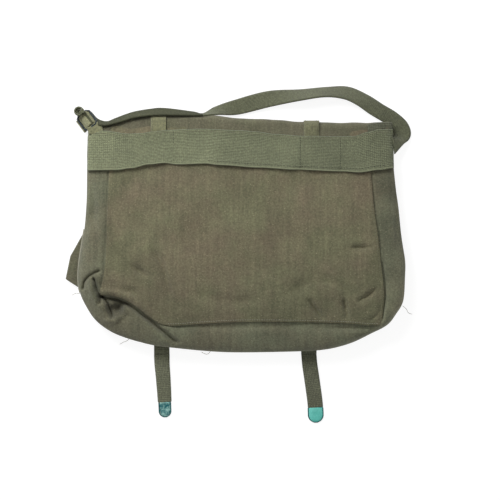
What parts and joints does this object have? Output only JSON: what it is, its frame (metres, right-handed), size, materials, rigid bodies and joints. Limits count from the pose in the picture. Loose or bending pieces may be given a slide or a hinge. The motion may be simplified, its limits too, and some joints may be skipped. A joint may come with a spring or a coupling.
{
  "type": "messenger bag",
  "caption": "Flat canvas satchel lying on its front, with a belt-width back band, a flap closed by two webbing straps, and a short carrying strap with a slide buckle.",
  "frame": {"origin": "centre of the footprint on the plane that the closure straps rest on", "axes": "+X to the wearer's right as seen from behind, +Y towards the mouth, +Z out of the back panel"},
  "size_m": [0.45, 0.4384, 0.0404],
  "materials": {
    "panel_canvas": "brownish olive cotton duck, worn",
    "gusset_canvas": "grey olive cotton duck, creased",
    "band_webbing": "wide ribbed cotton webbing",
    "webbing": "narrow ribbed cotton webbing",
    "tip_metal": "verdigris over brass",
    "buckle_metal": "blackened steel, worn"
  },
  "bodies": {
    "bag": {"back_panel": "panel_canvas", "front_panel": "panel_canvas", "gusset": "gusset_canvas", "front_seam_binding": "webbing", "back_band": "band_webbing", "front_mouth_hem": "panel_canvas", "flap_back_strip": "panel_canvas", "left_closure_web_back": "webbing", "right_closure_web_back": "webbing", "left_anchor_tape": "webbing", "left_buckle_chape": "webbing", "right_buckle_chape": "webbing"},
    "flap": {"flap_panel": "gusset_canvas", "flap_hem": "gusset_canvas", "left_closure_strap": "webbing", "right_closure_strap": "webbing"},
    "left_tail_end": {"left_tail": "webbing", "left_strap_tip": "tip_metal"},
    "right_tail_end": {"right_tail": "webbing", "right_strap_tip": "tip_metal"},
    "carrying_strap": {"shoulder_strap": "webbing", "shoulder_strap_end": "webbing", "shoulder_slide": "buckle_metal"},
    "left_buckle": {"left_closure_buckle": "buckle_metal"},
    "right_buckle": {"right_closure_buckle": "buckle_metal"}
  },
  "joints": [
    {"name": "flap_hinge", "type": "hinge", "parent": "bag", "child": "flap", "pos_m": [0, 0.17, 0.0104], "axis": [1, 0, 0], "range_deg": [0, 95]},
    {"name": "left_tail_swing", "type": "hinge", "parent": "flap", "child": "left_tail_end", "pos_m": [-0.1, -0.1314, 0.0022], "axis": [-1, 0, 0], "range_deg": [0, 80]},
    {"name": "right_tail_swing", "type": "hinge", "parent": "flap", "child": "right_tail_end", "pos_m": [0.092, -0.1314, 0.0022], "axis": [-1, 0, 0], "range_deg": [0, 80]},
    {"name": "carrying_strap_swing", "type": "hinge", "parent": "bag", "child": "carrying_strap", "pos_m": [-0.19, 0.17, 0.018], "axis": [0.9983, -0.0587, 0], "range_deg": [0, 100]},
    {"name": "left_buckle_flop", "type": "hinge", "parent": "bag", "child": "left_buckle", "pos_m": [-0.1028, -0.066, 0.00425], "axis": [1, 0, 0], "range_deg": [-3, 4]},
    {"name": "right_buckle_flop", "type": "hinge", "parent": "bag", "child": "right_buckle", "pos_m": [0.0931, -0.066, 0.00425], "axis": [1, 0, 0], "range_deg": [-3, 4]}
  ]
}
